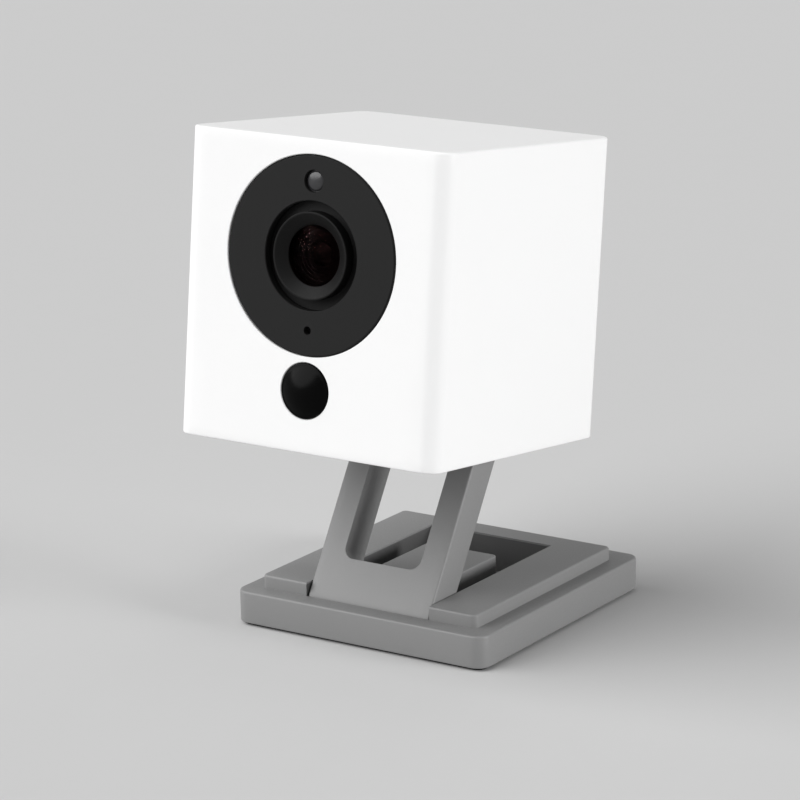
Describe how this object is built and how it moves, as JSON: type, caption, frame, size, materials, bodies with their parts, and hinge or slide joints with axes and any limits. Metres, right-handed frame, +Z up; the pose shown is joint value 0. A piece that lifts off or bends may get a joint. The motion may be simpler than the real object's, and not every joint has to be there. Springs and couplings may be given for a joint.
{
  "type": "security camera",
  "caption": "Small cube-shaped indoor security camera: a white head with a round black front plate, on a grey folding and swivelling stand with a flat base.",
  "frame": {"origin": "centre of the base's underside, on the surface that the camera stands on", "axes": "+Z up, front (the lens side) towards -Y, +X to the right when facing the lens side from behind -Y"},
  "size_m": [0.05, 0.0661, 0.0873],
  "materials": {
    "white_shell": "satin white moulded plastic",
    "grey_shell": "fine satin grey moulded plastic",
    "rubber_pad": "matt black",
    "magnet": "nickel plated magnet",
    "ballast_steel": "plain steel",
    "pin_steel": "ground steel",
    "screw_steel": "zinc plated, black passivated",
    "keeper_plastic": "black acetal",
    "nylon": "natural nylon",
    "spring_steel": "spring steel",
    "face_black": "infrared-clear black acrylic, satin",
    "bezel_black": "black, fine matt",
    "lens_glass": "coated glass",
    "inner_glass": "coated glass",
    "barrel_black": "black anodised",
    "mount_black": "black glass-filled plastic",
    "filter_glass": "coated filter glass in a thin frame",
    "sensor_die": "covered image sensor",
    "board_green": "green solder mask",
    "board_black": "black solder mask",
    "led_body": "dark epoxy",
    "smoked_window": "smoked clear acrylic",
    "chip_black": "moulded epoxy",
    "mic_can": "plated can",
    "gasket_foam": "closed-cell foam",
    "dome_black": "gloss black polyethylene lens",
    "can_steel": "plated steel",
    "spacer_brass": "plain",
    "flex_orange": "polyimide flat cable",
    "sink_aluminium": "plain extruded",
    "shield_steel": "tinned steel",
    "speaker_black": "black frame and cone",
    "port_steel": "nickel plated shell, dark tongue",
    "light_pipe": "clear polycarbonate",
    "led_white": "white phosphor",
    "button_white": "satin white"
  },
  "bodies": {
    "base": {"base_body": "grey_shell", "foot_pad": "rubber_pad", "base_magnets": "magnet", "ballast_bars": "ballast_steel", "lower_hinge_pin": "pin_steel", "pin_keepers": "keeper_plastic"},
    "arm": {"arm": "grey_shell", "hinge_sleeve": "nylon", "upper_hinge_pin": "pin_steel"},
    "turntable": {"turntable": "grey_shell", "friction_washer": "spring_steel", "swivel_retainer": "pin_steel", "swivel_screw": "screw_steel"},
    "head": {"housing": "white_shell", "bottom_cover": "white_shell", "rear_cover": "white_shell", "cover_screws": "screw_steel", "face_plate": "face_black", "lens_bezel": "bezel_black", "front_lens": "lens_glass", "lens_barrel": "barrel_black", "inner_lens": "inner_glass", "lens_mount": "mount_black", "image_sensor": "sensor_die", "sensor_board": "board_green", "light_board": "board_black", "infrared_leds": "led_body", "light_window": "smoked_window", "light_sensor": "chip_black", "microphone": "mic_can", "microphone_gasket": "gasket_foam", "motion_lens": "dome_black", "motion_sensor": "can_steel", "motion_board": "board_green", "main_board": "board_green", "board_screws": "screw_steel", "board_spacers": "spacer_brass", "ribbon_cable": "flex_orange", "processor": "chip_black", "heat_sink": "sink_aluminium", "radio_shield": "shield_steel", "wifi_antenna": "flex_orange", "speaker_gasket": "gasket_foam", "speaker": "speaker_black", "port_board": "board_green", "usb_socket": "port_steel", "power_inlet": "port_steel", "status_light_pipe": "light_pipe", "status_led": "led_white", "button_switch": "chip_black", "card_socket": "shield_steel"},
    "setup_button": {"setup_button": "button_white"},
    "infrared_filter": {"infrared_filter": "filter_glass"}
  },
  "joints": [
    {"name": "arm_lean", "type": "hinge", "parent": "base", "child": "arm", "pos_m": [0, -0.0191, 0.0052], "axis": [-1, 0, 0], "range_deg": [-31.5, 24]},
    {"name": "head_tilt", "type": "hinge", "parent": "arm", "child": "turntable", "pos_m": [0, -0.00214, 0.03245], "axis": [-1, 0, 0], "range_deg": [-40, 55]},
    {"name": "head_swivel", "type": "hinge", "parent": "turntable", "child": "head", "pos_m": [0, -0.01501, 0.03427], "axis": [0, 0.1167, 0.9932], "continuous": true},
    {"name": "setup_button_press", "type": "slide", "parent": "head", "child": "setup_button", "axis": [0, 0.1167, 0.9932], "range_m": [0, 0.0004], "stiffness_N_per_m": 2000, "springref_m": -0.0002},
    {"name": "infrared_filter_slide", "type": "slide", "parent": "head", "child": "infrared_filter", "axis": [-1, 0, 0], "range_m": [0, 0.0064]}
  ]
}
